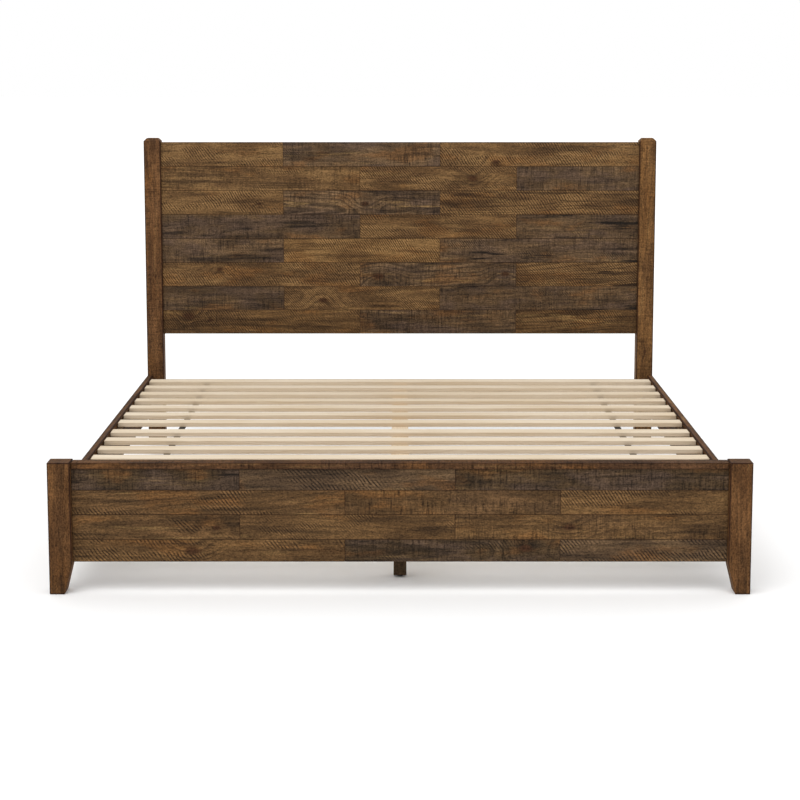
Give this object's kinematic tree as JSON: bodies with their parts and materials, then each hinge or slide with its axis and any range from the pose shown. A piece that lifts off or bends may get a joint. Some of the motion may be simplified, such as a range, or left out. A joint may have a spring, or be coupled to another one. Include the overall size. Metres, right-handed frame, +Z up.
{
  "type": "wooden bed frame",
  "caption": "Rustic plank bed frame with a tall headboard, low footboard, side rails, slats on ledges and a centre beam on levelling legs.",
  "frame": {"origin": "on the floor, in the middle of the frame's box", "axes": "+X to the right when standing at the foot, +Y towards the headboard, +Z up"},
  "size_m": [2, 2.185, 1.204],
  "materials": {
    "stained_plank_wood": "stained and sawn, satin",
    "pale_pine": "planed, bare",
    "beech_dowel": "turned, bare",
    "zinc_steel": "zinc plated",
    "woven_strap": "woven webbing",
    "black_nylon": "moulded"
  },
  "bodies": {
    "frame": {"headboard_post_left": "stained_plank_wood", "headboard_post_right": "stained_plank_wood", "headboard_boards_row_1": "stained_plank_wood", "headboard_boards_row_2": "stained_plank_wood", "headboard_boards_row_3": "stained_plank_wood", "headboard_boards_row_4": "stained_plank_wood", "headboard_boards_row_5": "stained_plank_wood", "headboard_boards_row_6": "stained_plank_wood", "headboard_boards_row_7": "stained_plank_wood", "headboard_boards_row_8": "stained_plank_wood", "headboard_lower_rail": "stained_plank_wood", "footboard_post_left": "stained_plank_wood", "footboard_post_right": "stained_plank_wood", "footboard_cap": "stained_plank_wood", "footboard_boards_row_1": "stained_plank_wood", "footboard_boards_row_2": "stained_plank_wood", "footboard_boards_row_3": "stained_plank_wood", "footboard_boards_row_4": "stained_plank_wood", "side_rail_left": "stained_plank_wood", "side_rail_right": "stained_plank_wood", "slat_ledge_left": "stained_plank_wood", "slat_ledge_right": "stained_plank_wood", "centre_leg_foot": "stained_plank_wood", "centre_leg_middle": "stained_plank_wood", "centre_leg_head": "stained_plank_wood", "slat_01": "pale_pine", "slat_02": "pale_pine", "slat_03": "pale_pine", "slat_04": "pale_pine", "slat_05": "pale_pine", "slat_06": "pale_pine", "slat_07": "pale_pine", "slat_08": "pale_pine", "slat_09": "pale_pine", "slat_10": "pale_pine", "slat_11": "pale_pine", "slat_12": "pale_pine", "slat_13": "pale_pine", "slat_14": "pale_pine", "centre_beam": "pale_pine", "headboard_dowels": "beech_dowel", "footboard_dowels": "beech_dowel", "beam_hanger_foot": "zinc_steel", "beam_hanger_head": "zinc_steel", "corner_brackets": "zinc_steel", "bracket_bolts": "zinc_steel", "bracket_screws": "zinc_steel", "ledge_screws": "zinc_steel", "hanger_screws": "zinc_steel", "leg_inserts": "zinc_steel", "leg_bolts": "zinc_steel", "strap_staples": "zinc_steel", "slat_strap_left": "woven_strap", "slat_strap_right": "woven_strap"},
    "pad_foot": {"levelling_pad_foot": "black_nylon"},
    "stem_foot": {"levelling_stem_foot": "zinc_steel"},
    "pad_middle": {"levelling_pad_middle": "black_nylon"},
    "stem_middle": {"levelling_stem_middle": "zinc_steel"},
    "pad_head": {"levelling_pad_head": "black_nylon"},
    "stem_head": {"levelling_stem_head": "zinc_steel"}
  },
  "joints": [
    {"name": "pad_foot_lower", "type": "slide", "parent": "frame", "child": "pad_foot", "axis": [0, 0, -1], "range_m": [0, 0.01]},
    {"name": "stem_foot_turn", "type": "hinge", "parent": "pad_foot", "child": "stem_foot", "pos_m": [0, -0.8945, 0.004], "axis": [0, 0, 1], "range_deg": [0, 2880]},
    {"name": "pad_middle_lower", "type": "slide", "parent": "frame", "child": "pad_middle", "axis": [0, 0, -1], "range_m": [0, 0.01]},
    {"name": "stem_middle_turn", "type": "hinge", "parent": "pad_middle", "child": "stem_middle", "pos_m": [0, -0.0295, 0.004], "axis": [0, 0, 1], "range_deg": [0, 2880]},
    {"name": "pad_head_lower", "type": "slide", "parent": "frame", "child": "pad_head", "axis": [0, 0, -1], "range_m": [0, 0.01]},
    {"name": "stem_head_turn", "type": "hinge", "parent": "pad_head", "child": "stem_head", "pos_m": [0, 0.8355, 0.004], "axis": [0, 0, 1], "range_deg": [0, 2880]}
  ],
  "couplings": [
    {"joint": "stem_foot_turn", "follows": "pad_foot_lower", "rad_per_m": 5026.5},
    {"joint": "stem_middle_turn", "follows": "pad_middle_lower", "rad_per_m": 5026.5},
    {"joint": "stem_head_turn", "follows": "pad_head_lower", "rad_per_m": 5026.5}
  ]
}
